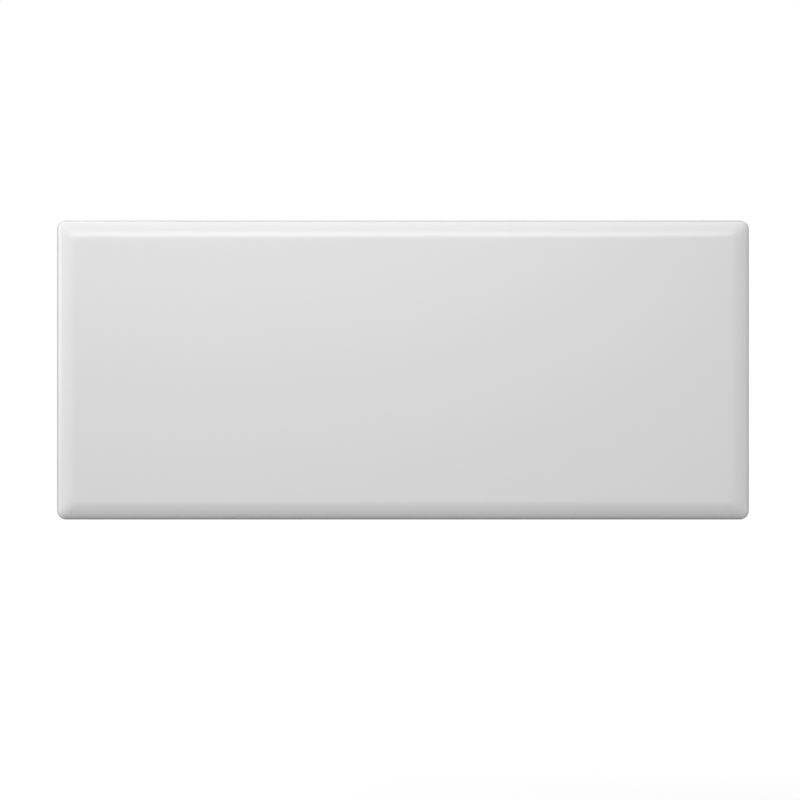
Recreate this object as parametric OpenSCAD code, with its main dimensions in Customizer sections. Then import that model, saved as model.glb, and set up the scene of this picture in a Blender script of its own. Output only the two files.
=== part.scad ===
/* [Body] */
// Width of the heater over the hem of its casing
body_w = 925; // [800:5:1100]
// Height of the heater over the hem of its casing
body_h = 400; // [390:5:460]
// Depth of the heater from its back to its front face
body_d = 55; // [53:1:66]
// Space between the wall and the back of the heater
wall_gap = 35; // [32:1:42]

/* [Front panel] */
// Thickness of the front panel's sheet
panel_sheet = 1; // [0.8:0.1:1.4]
// Depth of the front panel from its face to its rear edge
panel_depth = 18; // [16:0.5:20]
// Width of the rolled border of the panel
roll_w = 21; // [16:0.5:26]
// Radius of the roll
roll_r = 29; // [27:0.5:40]
// Radius of the panel's outer edge
edge_r = 2.5; // [2:0.1:4]
// Radius of the panel's corners, seen from the front
panel_corner_r = 10; // [7:0.5:16]
// Part of the hem that shows round the panel
hem_reveal = 2.3; // [1.5:0.1:3]

/* [Rear casing] */
// Thickness of the casing's sheet
casing_sheet = 1; // [0.8:0.1:1.3]
// Distance from the casing's wall to the outer edge of its hem
hem_w = 5; // [4:0.5:7]
// Thickness of the folded hem
hem_t = 2; // [1.6:0.1:2.4]
// Radius of the hem's outer edges
hem_edge_r = 0.5; // [0.3:0.1:0.7]
// Radius of the bend between the casing's back and its walls
casing_bend_r = 3; // [2:0.5:5]
// Width of the closed compartment for the electrical parts
compartment_w = 147; // [140:1:165]
// Length of an air slot in the bottom and the back
air_slot_l = 42; // [30:1:44]
// Width of an air slot
air_slot_w = 7; // [5:0.5:8]
// Distance from one air slot to the next
air_slot_pitch = 52; // [50:1:60]
// Width of a pressed stiffening rib in the back
bead_w = 18; // [12:1:24]
// Depth of a pressed rib
bead_d = 2; // [1.2:0.2:3]

/* [Outlet grille] */
// Width of the openings in the casing's top
top_opening_d = 27; // [25:0.5:28]
// Distance from the left end of the casing to the outlet opening
outlet_inset = 18; // [14:1:40]
// Number of long blades in the outlet
blade_count = 5; // [3:1:6]
// Thickness of a blade
blade_t = 1.2; // [0.8:0.1:1.6]
// Height of the grille
blade_h = 12; // [8:1:16]
// Lean of the blades towards the front
blade_lean = 28; // [10:1:35]
// Distance from one cross rib to the next
rib_pitch = 46; // [35:1:70]
// Thickness of a cross rib
rib_t = 1.5; // [1:0.1:2.5]
// Width of the grille's flange under the casing
grille_flange = 1.5; // [1:0.1:1.8]

/* [Heating element] */
// Length of the finned element
element_l = 684; // [560:2:700]
// Height of the element's axis above the bottom of the heater
element_up = 80; // [70:1:100]
// Distance from the element's axis to the tips of its fins
fin_reach = 17; // [12:0.5:18]
// Thickness of a fin
fin_t = 1.4; // [1:0.1:2]
// Radius of the element's core
core_r = 6; // [5.5:0.1:7]
// Radius of the heating rod
rod_r = 4; // [3:0.1:4.5]
// Thickness of the heat shields
shield_t = 0.8; // [0.6:0.1:1]
// Height of the heat shields
shield_h = 100; // [80:1:110]

/* [Controls] */
// Length of the opening for the control panel
control_w = 113; // [110:1:118]
// Depth of the control panel's floor below the casing's top
control_sink = 6.5; // [5.5:0.5:7.5]
// Diameter of the thermostat dial
dial_d = 18; // [16:0.5:19]
// Height of the dial
dial_h = 8; // [6:0.5:8.5]
// Number of grip notches round the dial
dial_notches = 20; // [16:2:26]
// Diameter of the dial's shaft
dial_shaft_d = 6; // [4:0.5:6]
// Diameter of the mode button
button_d = 8; // [6:0.5:9]
// Travel of the mode button
button_travel = 1.2; // [0.8:0.1:1.4]
// Length of the rocker
rocker_l = 16; // [14:0.5:17]
// Width of the rocker
rocker_w = 10; // [8:0.5:10.5]
// Angle of the rocker to each side of its middle
rocker_lean = 7; // [4:0.5:9]
// Diameter of the indicator lens
lens_d = 4; // [3:0.5:5]

/* [Wall bracket] */
// Distance between the wall screws across
screw_span_x = 600; // [520:10:600]
// Distance between the wall screws up and down
screw_span_z = 170; // [150:5:180]
// Diameter of the holes for the wall screws
screw_hole_d = 6.5; // [5:0.5:8]
// Thickness of the bracket's sheet
bracket_sheet = 2; // [1.5:0.1:2.5]
// Width of an upright
upright_w = 30; // [28:1:36]
// Height of a rail
rail_h = 25; // [20:1:32]
// Depth of a rail
rail_d = 12; // [8:0.5:16]
// Diameter of the pivot rods that the heater stands on
pivot_d = 8; // [6:0.5:9]
// Height of the pivot above the bottom of the heater
pivot_up = 50; // [44:1:60]
// Distance from the heater's back to the pivot
pivot_back = 15; // [14:0.5:18]
// Distance from the top of the heater to the top of the catch windows
catch_down = 47; // [42:1:60]
// Travel of a catch
catch_travel = 5; // [3:0.5:6]
// Width of a catch's nose
nose_w = 12; // [8:1:14]
// Height of the ears that hold the pivot rods
ear_h = 16; // [15:0.5:20]
// Height of an ear's foot on the back of the heater
foot_h = 28; // [26:1:32]
// Width of an ear's foot
foot_w = 18; // [16:1:22]

/* [Supply cable inlet] */
// Diameter of the way for the cable
inlet_bore_d = 8.4; // [7:0.2:9]
// Diameter of the thread of the cable gland
gland_thread_d = 16; // [14:0.5:18]

/* [Fasteners and sheet] */
// Thickness of the folded plates inside the casing
inner_sheet = 1.2; // [1:0.1:1.4]
// Diameter of the rivets
rivet_d = 3.2; // [3:0.1:3.6]
// Diameter of a rivet's head
rivet_head_d = 6.4; // [5.5:0.1:7]
// Height of a rivet's head
rivet_head_h = 1.1; // [0.8:0.1:1.4]
// Diameter of the casing screws
screw_d = 3.3; // [3:0.1:3.6]
// Diameter of a casing screw's head
screw_head_d = 7; // [6:0.1:7.5]

/* [Hidden] */
$fn = 64;
// Length of an edge section inwards, past the middle of the widest heater
far = 700;
// Clearance between pieces that move past each other
skin = 0.3;
// Clearance of a push fit, to each side
slip = 0.05;
// Clearance at the end of a sheet that butts against another
eps = 0.2;
// Overlap by which one arc crosses the next line, so that they meet cleanly
proud = 0.02;

// Planes of the heater, with the wall at y = 0 and the front towards -Y
back_y = -wall_gap;
front_y = back_y - body_d;
rim_y = front_y + panel_depth;
casing_d = body_d - panel_depth;
casing_x = body_w / 2 - hem_w;
casing_z = body_h / 2 - hem_w;
inner_x = casing_x - casing_sheet;
inner_z = casing_z - casing_sheet;
inner_y = back_y - casing_sheet;
hem_corner_r = panel_corner_r + hem_reveal;
top_mid_y = (rim_y + hem_t + inner_y) / 2;

// Front panel's hooks, tabs and screws
tab_w = 16;
tab_x = [-screw_span_x / 2, 0, screw_span_x / 2];
tab_screw_in = 4;
tab_screw_y = rim_y + hem_t + tab_screw_in;
tab_reach = 18;
tab_step = 2;
skirt_z = body_h / 2 - hem_reveal - panel_sheet;
tab_step_y = rim_y - tab_step;
roll_depth = roll_r - sqrt((roll_r + proud - edge_r) ^ 2 - (roll_w + proud - edge_r) ^ 2);
tab_weld_y = front_y + roll_depth + skin;

// Inner walls and the element between them
partition_x = casing_x - compartment_w;
front_gap = 5;
partition_front_y = front_y + panel_sheet + front_gap;
element_z = -body_h / 2 + element_up;
element_shift = 2.5;
element_y = (partition_front_y + inner_y) / 2 - element_shift;
insulator_gap = 18;
insulator_flange_t = 3;
insulator_wall = 2.4;
rod_tail = 12;
element_seat_x = partition_x - element_l - 2 * insulator_gap;
element_mid_x = (partition_x + element_seat_x) / 2;
element_hole_d = 2 * (rod_r + insulator_wall + 2 * slip);
partition_fold = 12;
grommet_up = 46;
grommet_z = element_z + grommet_up;
grommet_y = top_mid_y;
grommet_neck_d = 9;
grommet_d = 13;
grommet_bore_d = 4.4;
seat_fold = 14;
seat_rivet_in = 8;
seat_rivet_edge = 12;
fin_angles = [-56, -28, 0, 28, 56];
saw_cut_w = 1.6;

// Heat shields, and the cutout that is riveted to the rear one
shield_left_x = element_seat_x;
shield_right_x = partition_x;
shield_stand = 5;
front_shield_leg = 4;
cutout_in = 58;
cutout_up = 36;
cutout_x = partition_x - cutout_in;
cutout_z = element_z + cutout_up;
cutout_y = inner_y - shield_stand;
cutout_span = 25;
cutout_flange_t = 1;

// Openings in the casing
outlet_left_x = -casing_x + outlet_inset;
outlet_gap = 10;
outlet_right_x = partition_x - outlet_gap;
outlet_w = outlet_right_x - outlet_left_x;
outlet_mid_x = (outlet_right_x + outlet_left_x) / 2;
air_slot_margin = 12;
air_slot_count = floor((partition_x + inner_x - 2 * air_slot_margin) / air_slot_pitch);
air_slot_x0 = (partition_x - inner_x) / 2 - (air_slot_count - 1) * air_slot_pitch / 2;
air_row_shift = 2;
air_row_mid_y = top_mid_y + air_row_shift;
air_row_span = 12;
back_slot_up = 19;
sensor_slot_l = 30;
bead_margin = 70;
bead_z = [body_h / 4, body_h / 20];
bead_l = partition_x + casing_x - 2 * bead_margin;
bead_mid_x = (partition_x - casing_x) / 2;

// Control panel, from left to right: rocker, dial, button, lens
controls_in = 66;
rocker_from_mid = -39;
dial_from_mid = 1;
button_from_mid = 29;
sensor_from_mid = 38;
lens_from_mid = 43;
control_mid_x = casing_x - controls_in;
control_wall = 1.5;
control_rim = 2;
control_rim_t = 1.2;
control_floor_z = casing_z - control_sink;
rocker_x = control_mid_x + rocker_from_mid;
rocker_r = rocker_l / 2;
rocker_wall = 1.4;
rocker_end = 1.7;
rocker_sink = 1;
rocker_body_l = rocker_l + 2 * rocker_end;
rocker_body_w = rocker_w + 2 * rocker_wall;
rocker_pivot_z = control_floor_z - rocker_sink;
rocker_bezel_t = 2;
rocker_pin_d = 3;
dial_x = control_mid_x + dial_from_mid;
button_x = control_mid_x + button_from_mid;
lens_x = control_mid_x + lens_from_mid;
sensor_x = control_mid_x + sensor_from_mid;
board_left_gap = 6;
board_right_gap = 5;
board_left_x = rocker_x + rocker_body_l / 2 + board_left_gap;
board_right_x = control_mid_x + control_w / 2 - board_right_gap;
dial_rest = 135;
dial_rise = 0.4;
dial_low_z = control_floor_z + dial_rise;
button_sink = 6;
button_low_z = control_floor_z - button_sink;
button_h = 9;
board_t = 1.6;
board_sink = 18.5;
board_z = control_floor_z - board_sink;
pot_h = 6;
pot_bush_h = 6;
housing_h = 42;
housing_bottom_z = control_floor_z - control_wall - housing_h;
housing_floor = 2;

// Supply side of the compartment
block_in = 80;
block_up = 60;
block_x = casing_x - block_in;
block_z = -body_h / 2 + block_up;
block_pitch = 12;
block_poles = [-1, 0, 1];
block_h = 20;
block_d = 16;
clamp_rise = 5.5;
clamp_well_d = 4.2;
gland_from_side = 52;
gland_up = 33;
gland_x = casing_x - gland_from_side;
gland_z = -body_h / 2 + gland_up;
gland_out = 12;
gland_in = 12;
stud_in = 40;
stud_up = 55;
stud_x = casing_x - stud_in;
stud_z = block_z + stud_up;
sensor_clear = 14;
sensor_z = -inner_z + sensor_clear;
sensor_up = 5;
sensor_slot_in = 36;
sensor_slot_x = casing_x - sensor_slot_in;

// Wires and their routes
wire_r = 1.3;
wire_bend = 3;
lead_r = 0.8;
wire_in = 2;
wire_step = 15;
block_bore_y = 1;
block_grip = 4;
low_wire_drop = 14;
housing_drop = 20;
duct_wire_rise = 4;
pin_wire = 6;
blade_x = 5;
tab_half_t = 0.4;
live_in_x = block_x - block_pitch;
live_out_x = live_in_x - wire_step;
neutral_in_x = block_x;
block_wire_y = inner_y - block_d / 2 - block_bore_y;
block_top_z = block_z + block_h / 2 - block_grip;
block_low_z = block_z - block_h / 2 + block_grip;
low_wire_z = block_z - block_h / 2 - low_wire_drop;
housing_turn_z = housing_bottom_z - housing_drop;
housing_wire_z = housing_bottom_z + wire_in;
duct_wire_z = element_z + shield_h / 2 + duct_wire_rise;
pin_r = rod_r / 2.5;
pin_x = element_l / 2 + insulator_gap + rod_tail + pin_wire;
blade_top_z = cutout_z + tab_half_t;

// Wall bracket
upright_x = screw_span_x / 2;
pivot_y = back_y + pivot_back;
pivot_z = -body_h / 2 + pivot_up;
hook_gap = 4;
hook_r = pivot_back - hook_gap;
seat_gap = 0.3;
flange_y = back_y + seat_gap;
catch_top_z = body_h / 2 - catch_down;
nose_clear = 1;
upright_rise = 22;
catch_drop = 32;
nose_z = catch_top_z - nose_clear;
upright_top_z = catch_top_z + upright_rise;
catch_low_z = catch_top_z - catch_drop;
spring_h = 20;
catch_plate_t = 6;
catch_front_y = -bracket_sheet - skin - catch_plate_t;
channel_w = upright_w - 2 * bracket_sheet;
rail_in = 10;
rail_z = screw_span_z / 2 - rail_in;
flange_low_z = pivot_z - hook_r;
flange_top_h = 26;
flange_top_d = 14;
window_play = 2;
window_base_h = 15;
window_w = nose_w + 2 * window_play;
window_h = window_base_h + catch_travel;
ear_t = 2;
ear_gap = 1;
ear_x = upright_w / 2 + ear_gap;
foot_rivet_in = 6;
foot_rivet_span = 16;

// Places of the rivets on the XZ plane: ears of the pivot, seat of the element, cutout
ear_rivets = [
    for (side = [-1, 1], hand = [-1, 1], end = [-1, 1]) [
        side * upright_x + hand * (ear_x + foot_w - foot_rivet_in),
        pivot_z + end * foot_rivet_span / 2
    ]
];
seat_rivets = [
    for (end = [-1, 1]) [element_seat_x - seat_rivet_in, element_z + end * (shield_h / 2 - seat_rivet_edge)]
];
cutout_rivets = [for (side = [-1, 1]) [cutout_x + side * cutout_span / 2, cutout_z]];

paint = [0.87, 0.88, 0.88];
steel = [0.7, 0.71, 0.72];
plastic = [0.82, 0.83, 0.83];

// Plain stadium outline, long way along the first axis
module stadium(l, w) {
    square([l - w, w], center = true);
    for (side = [-1, 1]) translate([side * (l - w) / 2, 0]) circle(d = w);
}

// Rectangle with true round corners
module round_rect(l, h, r) {
    square([l - 2 * r, h], center = true);
    square([l, h - 2 * r], center = true);
    for (sx = [-1, 1], sz = [-1, 1]) translate([sx * (l / 2 - r), sz * (h / 2 - r)]) circle(r = r);
}

// Round holes at a list of places on the XZ plane
module hole_set(places, d) {
    for (place = places) translate(place) circle(d = d);
}

// An outline drawn in X and Z, made d deep along +Y
module along_y(d) rotate([90, 0, 0]) translate([0, 0, -d]) linear_extrude(d) children();

// An outline drawn in Y and Z, made l long about the YZ plane
module along_x(l) rotate([90, 0, 90]) linear_extrude(l, center = true) children();

// C-shaped sheet section about the first axis: web at 0, legs reach out along it
module channel_section(h, reach, t) {
    way = sign(reach);
    polygon([
        [0, -h / 2], [reach, -h / 2], [reach, -h / 2 + t], [way * t, -h / 2 + t],
        [way * t, h / 2 - t], [reach, h / 2 - t], [reach, h / 2], [0, h / 2]
    ]);
}

// Both halves of an edge section over a length, for a form that is the same from both ends
module double_section(l, depth) {
    for (side = [0, 1]) mirror([side, 0]) translate([-l / 2, 0]) intersection() {
        children();
        square([l / 2, depth]);
    }
}

// A tray-like form over a rounded rectangle: the section gives its edge, with the distance inwards first
// and the depth second; the corners are turned about their own axes and the wider part is mitred
module rim_form(l, h, corner_r, depth) {
    difference() {
        intersection() {
            linear_extrude(h, center = true) double_section(l, depth) children();
            rotate([0, -90, 0]) linear_extrude(l, center = true) double_section(h, depth) children();
        }
        for (sx = [-1, 1], sz = [-1, 1])
            translate([sx * (l / 2 - corner_r / 2 + 1), depth / 2, sz * (h / 2 - corner_r / 2 + 1)])
                cube([corner_r + 2, depth + 2, corner_r + 2], center = true);
    }
    for (turn = [0 : 3]) {
        sx = turn == 0 || turn == 3 ? 1 : -1;
        sz = turn < 2 ? -1 : 1;
        translate([sx * (l / 2 - corner_r), 0, sz * (h / 2 - corner_r)])
            rotate([0, turn * 90, 0]) rotate([-90, 0, 0]) rotate_extrude(angle = 90)
                intersection() {
                    translate([corner_r, 0]) mirror([1, 0]) children();
                    square([corner_r, depth]);
                }
    }
}

// Edge section of the front panel: a wide roll whose outer end is rounded off into a straight skirt.
// The small circle stands a hair proud of the roll and of the skirt, so that it crosses both
module roll_section(w, r, e, depth) {
    span = r + proud - e;
    across = w - e + proud;
    cx = e - proud;
    cy = r - sqrt(span * span - across * across);
    difference() {
        union() {
            intersection() {
                translate([w, r]) circle(r = r, $fn = 180);
                square([w, depth]);
            }
            translate([w, 0]) square([far, depth]);
        }
        difference() {
            translate([-1, -1]) square([cx - e * across / span + 1, cy + 1]);
            translate([cx, cy]) circle(r = e);
        }
    }
}

// Edge section with one round bend
module bend_section(r, depth) {
    intersection() {
        translate([r, r]) circle(r = r);
        square([r, r]);
    }
    translate([0, r]) square([r, depth - r]);
    translate([r, 0]) square([far, depth]);
}

// Edge section of a folded hem, flat towards the front, with lightly rounded outer edges
module hem_section(t, r) {
    for (depth = [r, t - r]) intersection() {
        translate([r, depth]) circle(r = r, $fn = 32);
        translate([0, depth - r]) square([r, 2 * r]);
    }
    translate([0, r]) square([r, t - 2 * r]);
    translate([r, 0]) square([far, t]);
}

module panel_form(inset, depth) {
    rim_form(body_w - 2 * hem_reveal - 2 * inset, body_h - 2 * hem_reveal - 2 * inset,
            panel_corner_r - inset, depth)
        roll_section(roll_w - inset, roll_r - inset, edge_r - inset, depth);
}

// Pressed steel front with a rolled border and a straight skirt
module front_panel() {
    color(paint) translate([0, front_y, 0]) difference() {
        panel_form(0, panel_depth);
        translate([0, panel_sheet, 0]) panel_form(panel_sheet, panel_depth);
    }
}

// Joggled tab from the panel's skirt to the inside of the casing's wall, drawn for the top
module tab_section(reach) {
    translate([tab_weld_y, skirt_z - inner_sheet]) square([tab_step_y - tab_weld_y, inner_sheet]);
    translate([tab_step_y - inner_sheet, inner_z - inner_sheet])
        square([inner_sheet, skirt_z - inner_z + inner_sheet]);
    translate([tab_step_y - inner_sheet, inner_z - inner_sheet]) square([reach + inner_sheet, inner_sheet]);
}

// Three hooks at the top and three screwed tabs at the bottom hold the front panel
module panel_brackets() {
    color(steel) {
        for (x = tab_x) translate([x, 0, 0]) along_x(tab_w) tab_section(2 + hem_t - eps);
        difference() {
            for (x = tab_x) translate([x, 0, 0]) mirror([0, 0, 1]) along_x(tab_w) tab_section(tab_reach);
            for (x = tab_x) translate([x, tab_screw_y, -inner_z])
                cylinder(d = screw_d + 2 * slip, h = 6, center = true);
        }
    }
}

// Pan-head screws through the casing's bottom into the panel's tabs
module casing_screws() {
    screw_head_h = 2.2;
    color(steel) for (x = tab_x) translate([x, tab_screw_y, -casing_z]) {
        translate([0, 0, -screw_head_h]) difference() {
            cylinder(d1 = screw_head_d - 1, d2 = screw_head_d, h = screw_head_h);
            for (turn = [0, 90]) rotate([0, 0, turn]) translate([-2, -0.4, -0.1]) cube([4, 0.8, 1.2]);
        }
        cylinder(d = screw_d, h = 7);
    }
}

// Row of air slots at one pitch
module air_slot_row(count, x0) {
    for (i = [0 : count - 1]) translate([x0 + i * air_slot_pitch, 0]) stadium(air_slot_l, air_slot_w);
}

// Folded steel tray: back, four walls and the hem that frames the front panel
module rear_casing() {
    color(paint) difference() {
        union() {
            translate([0, back_y, 0]) mirror([0, 1, 0])
                rim_form(2 * casing_x, 2 * casing_z, hem_corner_r - hem_w, casing_d)
                    bend_section(casing_bend_r, casing_d);
            translate([0, rim_y, 0]) rim_form(body_w, body_h, hem_corner_r, hem_t)
                hem_section(hem_t, hem_edge_r);
        }
        difference() {
            translate([0, inner_y, 0]) mirror([0, 1, 0])
                rim_form(2 * inner_x, 2 * inner_z, hem_corner_r - hem_w - casing_sheet, casing_d)
                    bend_section(casing_bend_r - casing_sheet, casing_d);
            for (z = bead_z) translate([bead_mid_x, inner_y - bead_d, z])
                along_y(bead_d + 1) stadium(bead_l + 2 * casing_sheet, bead_w + 2 * casing_sheet);
        }
        for (z = bead_z) translate([bead_mid_x, back_y - bead_d, z])
            along_y(bead_d + 1) stadium(bead_l, bead_w);
        translate([0, 0, casing_z - 3]) linear_extrude(6) {
            translate([outlet_mid_x, top_mid_y]) square([outlet_w, top_opening_d], center = true);
            translate([control_mid_x, top_mid_y]) square([control_w, top_opening_d], center = true);
        }
        translate([0, 0, -casing_z - 3]) linear_extrude(6) {
            for (side = [-1, 1]) translate([0, air_row_mid_y + side * air_row_span / 2])
                air_slot_row(air_slot_count, air_slot_x0);
            translate([sensor_slot_x, top_mid_y]) stadium(sensor_slot_l, air_slot_w);
            for (x = tab_x) translate([x, tab_screw_y]) circle(d = screw_d + skin);
        }
        translate([0, back_y - 3, 0]) along_y(6) {
            translate([0, -body_h / 2 + back_slot_up]) air_slot_row(air_slot_count, air_slot_x0);
            for (side = [-1, 1]) translate([side * upright_x, catch_top_z - window_h / 2])
                square([window_w, window_h], center = true);
            translate([gland_x, gland_z]) circle(d = gland_thread_d + 0.4);
            hole_set(ear_rivets, rivet_d + 2 * slip);
            hole_set(seat_rivets, rivet_d + 2 * slip);
        }
    }
}

// Long leaning blades and cross ribs in a flanged frame, let into the casing's top
module outlet_grille() {
    frame_t = 1.2;
    flange_t = 1.6;
    top_z = casing_z;
    low_z = top_z - blade_h;
    pitch = (top_opening_d - 2 * frame_t) / blade_count;
    side_y = (top_opening_d - frame_t - 2 * slip) / 2;
    rib_count = floor(outlet_w / rib_pitch) - 1;
    rib_step = outlet_w / (rib_count + 1);
    color(paint) {
        translate([outlet_mid_x, 0, 0]) along_x(outlet_w - 2 * slip) {
            intersection() {
                translate([top_mid_y - top_opening_d / 2 + slip, low_z])
                    square([top_opening_d - 2 * slip, blade_h]);
                union() {
                    for (i = [0 : blade_count - 1])
                        translate([top_mid_y + (i - (blade_count - 1) / 2) * pitch, (top_z + low_z) / 2])
                            rotate(blade_lean) square([blade_t, 2 * blade_h], center = true);
                    for (side = [-1, 1])
                        translate([top_mid_y + side * side_y, (top_z + low_z) / 2])
                            square([frame_t, blade_h + 1], center = true);
                }
            }
        }
        for (i = [0 : rib_count + 1]) {
            x = outlet_left_x + i * rib_step;
            shift = i == 0 ? rib_t / 2 + slip : i == rib_count + 1 ? -rib_t / 2 - slip : 0;
            translate([x + shift, top_mid_y, (low_z + top_z - 1) / 2])
                cube([rib_t, top_opening_d - 2 * slip, blade_h - 1], center = true);
        }
        translate([outlet_mid_x, top_mid_y, inner_z - flange_t]) linear_extrude(flange_t) difference() {
            square([outlet_w + 2 * grille_flange, top_opening_d + 2 * grille_flange], center = true);
            square([outlet_w - 2 * frame_t, top_opening_d - 2 * frame_t], center = true);
        }
    }
}

// Folded wall between the warm duct and the electrical compartment, with the element's right seat
module partition_plate() {
    outlet_air = 6;
    top = casing_z - blade_h - outlet_air;
    color(steel) difference() {
        union() {
            translate([partition_x, partition_front_y, -inner_z])
                cube([inner_sheet, inner_y - partition_front_y, top + inner_z]);
            translate([partition_x, inner_y - inner_sheet, -inner_z])
                cube([partition_fold, inner_sheet, top + inner_z]);
        }
        translate([partition_x, element_y, element_z]) rotate([0, 90, 0])
            cylinder(d = element_hole_d, h = 6, center = true);
        translate([partition_x, grommet_y, grommet_z]) rotate([0, 90, 0])
            cylinder(d = grommet_neck_d, h = 6, center = true);
    }
}

// Rubber grommet for the wires through the partition
module partition_grommet() {
    length = inner_sheet + 3.2;
    color([0.12, 0.12, 0.12]) translate([partition_x + inner_sheet / 2, grommet_y, grommet_z])
        rotate([0, 90, 0]) rotate_extrude() difference() {
            translate([grommet_bore_d / 2, -length / 2]) square([(grommet_d - grommet_bore_d) / 2, length]);
            translate([grommet_neck_d / 2, -inner_sheet / 2]) square([4, inner_sheet]);
        }
}

// Folded plate that carries the left end of the element
module element_bracket() {
    x = element_seat_x;
    color(steel) difference() {
        union() {
            translate([x - inner_sheet, partition_front_y, element_z - shield_h / 2])
                cube([inner_sheet, inner_y - partition_front_y, shield_h]);
            translate([x - seat_fold, inner_y - inner_sheet, element_z - shield_h / 2])
                cube([seat_fold, inner_sheet, shield_h]);
        }
        translate([x, element_y, element_z]) rotate([0, 90, 0])
            cylinder(d = element_hole_d, h = 6, center = true);
        translate([0, inner_y - 3, 0]) along_y(6) hole_set(seat_rivets, rivet_d + 2 * slip);
    }
}

// Finned aluminium body: two fans of fins on a round core, with saw cuts that let it grow when hot
module heating_element() {
    cut_count = 11;
    cut_pitch = element_l / (cut_count + 1);
    color([0.75, 0.76, 0.77]) translate([element_mid_x, element_y, element_z]) difference() {
        along_x(element_l) difference() {
            union() {
                circle(r = core_r);
                for (turn = [0, 180], lean = fin_angles) rotate(turn + lean)
                    translate([-fin_t / 2, 0]) square([fin_t, fin_reach]);
            }
            circle(r = rod_r + slip);
        }
        for (i = [1 : cut_count], side = [-1, 1])
            translate([-element_l / 2 + i * cut_pitch, 0, side * (core_r + 3 + fin_reach / 2)])
                cube([saw_cut_w, 3 * fin_reach, fin_reach], center = true);
    }
}

// Sheathed heating rod with a thin connection pin at each end
module element_rod() {
    reach = element_l / 2 + insulator_gap + rod_tail;
    color([0.45, 0.43, 0.42]) translate([element_mid_x, element_y, element_z]) rotate([0, 90, 0]) {
        cylinder(r = rod_r, h = 2 * reach, center = true);
        cylinder(r = rod_r / 2.5, h = 2 * (reach + 10), center = true);
    }
}

// Ceramic bushes that hold the rod in its two seats
module element_insulators() {
    color([0.9, 0.88, 0.82]) for (seat = [[element_seat_x, 1], [partition_x, -1]])
        translate([seat[0], element_y, element_z]) rotate([0, 90 * seat[1], 0]) rotate_extrude() {
            translate([rod_r + slip, -rod_tail + 4]) square([insulator_wall, rod_tail + insulator_gap - 6]);
            translate([rod_r + slip, 0]) square([insulator_wall + 3, insulator_flange_t]);
        }
}

// Bent reflector between the element and the casing's back
module rear_heat_shield() {
    l = shield_right_x - shield_left_x - 2 * eps;
    color([0.78, 0.79, 0.8]) difference() {
        translate([(shield_left_x + shield_right_x) / 2, cutout_y, element_z])
            along_x(l) channel_section(shield_h, shield_stand, shield_t);
        translate([0, cutout_y - 2, 0]) along_y(4) hole_set(cutout_rivets, rivet_d + 2 * slip);
    }
}

// Bent shield between the element and the front panel
module front_heat_shield() {
    l = shield_right_x - shield_left_x + 2 * inner_sheet;
    color([0.78, 0.79, 0.8]) translate([(shield_left_x + shield_right_x) / 2, partition_front_y, element_z])
        along_x(l) channel_section(shield_h, -front_shield_leg, shield_t);
}

// Disc thermostat that opens the circuit if the element gets too hot
module overheat_cutout() {
    color([0.15, 0.15, 0.16]) translate([cutout_x, cutout_y, cutout_z]) rotate([90, 0, 0]) {
        linear_extrude(cutout_flange_t) difference() {
            stadium(cutout_span + 9, 14);
            for (side = [-1, 1]) translate([side * cutout_span / 2, 0]) circle(d = rivet_d + 2 * slip);
        }
        cylinder(d = 16, h = 9);
        for (side = [-1, 1]) translate([side * blade_x - 3, -tab_half_t, 8]) cube([6, 2 * tab_half_t, 9.5]);
    }
}

// Moulded tray let into the casing's top, with ways through its floor for the controls
module control_panel() {
    z = control_floor_z;
    color(plastic) difference() {
        union() {
            translate([control_mid_x, top_mid_y, casing_z]) linear_extrude(control_rim_t)
                round_rect(control_w + 2 * control_rim, top_opening_d + 2 * control_rim, 3);
            translate([control_mid_x, top_mid_y, z - control_wall])
                linear_extrude(control_sink + control_wall + 0.1)
                    square([control_w - 2 * slip, top_opening_d - 2 * slip], center = true);
        }
        translate([control_mid_x, top_mid_y, z]) linear_extrude(20)
            round_rect(control_w - 2 * control_wall, top_opening_d - 2 * control_wall, 2);
        translate([dial_x, top_mid_y, z]) cylinder(d = dial_shaft_d + 0.8, h = 9, center = true);
        translate([button_x, top_mid_y, z]) cylinder(d = button_d + 0.6, h = 9, center = true);
        translate([lens_x, top_mid_y, z]) cylinder(d = lens_d + 0.1, h = 9, center = true);
        translate([rocker_x, top_mid_y, z])
            cube([rocker_body_l + 0.2, rocker_body_w + 0.2, 9], center = true);
        for (angle = [-dial_rest : 22.5 : dial_rest]) translate([dial_x, top_mid_y, z]) rotate([0, 0, angle])
            translate([0, dial_d / 2 + 0.55, 0]) cube([0.4, 0.7, 0.6], center = true);
    }
}

// Moulded box under the control panel
module thermostat_housing() {
    l = control_w - 4;
    d = top_opening_d - 3;
    z = housing_bottom_z;
    color([0.25, 0.26, 0.27]) difference() {
        union() {
            difference() {
                translate([control_mid_x, top_mid_y, z])
                    linear_extrude(housing_h) round_rect(l, d, 2.5);
                translate([control_mid_x, top_mid_y, z + housing_floor])
                    linear_extrude(housing_h) round_rect(l - 3, d - 3, 1);
            }
            for (x = [board_left_x + 3, board_right_x - 3], side = [-1, 1])
                translate([x, top_mid_y + side * (d / 2 - 4), z]) cylinder(d = 4, h = board_z - z);
        }
        for (x = [live_in_x, live_out_x, neutral_in_x, sensor_x]) translate([x, top_mid_y, z])
            cylinder(r = wire_r + 0.3, h = 9, center = true);
    }
}

// Printed circuit board on four posts
module control_board() {
    color([0.1, 0.35, 0.18]) translate([(board_left_x + board_right_x) / 2, top_mid_y, board_z])
        linear_extrude(board_t) difference() {
            square([board_right_x - board_left_x, top_opening_d - 7], center = true);
            translate([-10, 6]) circle(d = 2);
        }
}

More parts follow.
